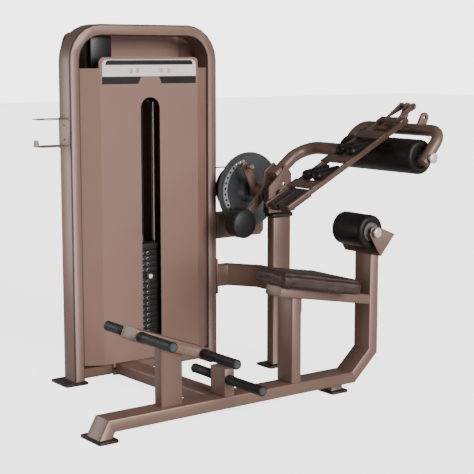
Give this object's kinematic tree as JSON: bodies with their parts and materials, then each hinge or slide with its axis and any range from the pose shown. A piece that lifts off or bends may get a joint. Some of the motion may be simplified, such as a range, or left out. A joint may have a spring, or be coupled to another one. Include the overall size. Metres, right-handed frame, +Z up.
{
  "type": "seated trunk extension machine",
  "caption": "Selectorised seated machine: weight tower, tilted seat with foot pegs, lumbar roller, and a swing arm with an upper roller and a folding padded harness.",
  "frame": {"origin": "on the floor, under the centre of the pivot post's foot plate", "axes": "+X along the base rail towards the back of a seated user, +Y from the seat to the weight tower, +Z up"},
  "size_m": [1.614, 1.2123, 1.55],
  "materials": {
    "bronze_paint": "satin metallic bronze paint",
    "dark_bronze_paint": "satin dark bronze paint",
    "black_paint": "satin black paint",
    "black_iron": "black painted iron",
    "bright_steel": "bright machined steel",
    "grey_steel": "dark grey steel, slightly glossy",
    "black_rubber": "matt black rubber",
    "brown_vinyl": "very dark brown upholstery vinyl",
    "black_nylon": "black nylon",
    "placard_sheet": "pale sheet with no lettering"
  },
  "bodies": {
    "frame": {"tower_frame": "bronze_paint", "front_shroud": "bronze_paint", "rear_shroud": "dark_bronze_paint", "info_placard": "placard_sheet", "bottle_holder": "bronze_paint", "guide_rod_left": "bright_steel", "guide_rod_right": "bright_steel", "stack_buffer_left": "black_rubber", "stack_buffer_right": "black_rubber", "resting_weight_plates": "black_iron", "pulley_carrier": "black_paint", "lower_pulley_bracket": "black_paint", "lift_belt": "black_rubber", "pivot_post": "bronze_paint", "pivot_post_cap": "dark_bronze_paint", "pivot_bearing": "dark_bronze_paint", "pivot_shelf": "bronze_paint", "rear_bearing": "dark_bronze_paint", "rear_link_beam": "bronze_paint", "front_link_beam": "bronze_paint", "base_rail": "bronze_paint", "rear_post": "bronze_paint", "base_link": "bronze_paint", "seat_rail": "bronze_paint", "seat_post": "bronze_paint", "seat_base": "black_paint", "seat_pad": "brown_vinyl", "lumbar_bracket": "dark_bronze_paint", "lumbar_axle": "bright_steel", "peg_frame": "bronze_paint", "second_upright": "bronze_paint", "upper_peg_grip_near": "black_rubber", "upper_peg_grip_far": "black_rubber", "middle_peg_grip_near": "black_rubber", "middle_peg_grip_far": "black_rubber", "lower_peg_grip_near": "black_rubber", "lower_peg_grip_far": "black_rubber"},
    "stack": {"lifted_weight_plates": "black_iron", "stack_head_plate": "black_paint"},
    "selector": {"selector_pin": "bright_steel"},
    "centre_pulley": {"top_centre_pulley": "black_nylon"},
    "side_pulley": {"top_side_pulley": "black_nylon"},
    "low_pulley": {"lower_side_pulley": "black_nylon"},
    "cam": {"range_disc": "grey_steel", "cam_drum": "black_paint", "pivot_axle": "grey_steel"},
    "arm": {"arm_bracket": "bronze_paint", "arm_tube": "bronze_paint", "roller_yoke": "bronze_paint", "upper_roller_axle": "bright_steel", "counterweight_bar": "bronze_paint", "counterweight": "black_iron", "harness_pin": "bright_steel"},
    "pin": {"pull_pin": "bright_steel"},
    "back_roller": {"upper_roller": "brown_vinyl"},
    "harness": {"harness_frame": "bronze_paint", "harness_pad_upper": "brown_vinyl", "harness_pad_lower": "brown_vinyl", "harness_grip": "dark_bronze_paint"},
    "hip_roller": {"lumbar_roller": "brown_vinyl"}
  },
  "joints": [
    {"name": "cam_swing", "type": "hinge", "parent": "frame", "child": "cam", "pos_m": [-0.034, 0.282, 0.8], "axis": [0, 1, 0], "range_deg": [0, 62]},
    {"name": "arm_start_adjust", "type": "hinge", "parent": "cam", "child": "arm", "pos_m": [-0.034, 0.282, 0.8], "axis": [0, 1, 0], "range_deg": [-22, 11]},
    {"name": "pull_pin_slide", "type": "slide", "parent": "arm", "child": "pin", "axis": [0, 1, 0], "range_m": [0, 0.013]},
    {"name": "back_roller_spin", "type": "hinge", "parent": "arm", "child": "back_roller", "pos_m": [0.173, -0.503, 1], "axis": [0, 1, 0], "continuous": true},
    {"name": "harness_fold", "type": "hinge", "parent": "arm", "child": "harness", "pos_m": [0.307, -0.503, 1.2], "axis": [0, 1, 0], "range_deg": [0, 110]},
    {"name": "hip_roller_spin", "type": "hinge", "parent": "frame", "child": "hip_roller", "pos_m": [0.026, -0.5005, 0.685], "axis": [0, 1, 0], "continuous": true},
    {"name": "stack_lift", "type": "slide", "parent": "frame", "child": "stack", "axis": [0, 0, 1], "range_m": [0, 0.112], "deforming": ["lift_belt"]},
    {"name": "selector_pin_slide", "type": "slide", "parent": "stack", "child": "selector", "axis": [0, -1, 0], "range_m": [0, 0.06]},
    {"name": "centre_pulley_spin", "type": "hinge", "parent": "frame", "child": "centre_pulley", "pos_m": [-0.5137, 0.282, 1.31], "axis": [0, 1, 0], "range_deg": [0, 140]},
    {"name": "side_pulley_spin", "type": "hinge", "parent": "frame", "child": "side_pulley", "pos_m": [-0.379, 0.282, 1.31], "axis": [0, 1, 0], "range_deg": [0, 140]},
    {"name": "low_pulley_spin", "type": "hinge", "parent": "frame", "child": "low_pulley", "pos_m": [-0.2854, 0.282, 0.9486], "axis": [0, 1, 0], "range_deg": [-140, 0]}
  ],
  "couplings": [
    {"joint": "stack_lift", "follows": "cam_swing", "m_per_rad": 0.1018},
    {"joint": "centre_pulley_spin", "follows": "cam_swing", "ratio": 2.175},
    {"joint": "side_pulley_spin", "follows": "cam_swing", "ratio": 2.175},
    {"joint": "low_pulley_spin", "follows": "cam_swing", "ratio": -2.175}
  ]
}
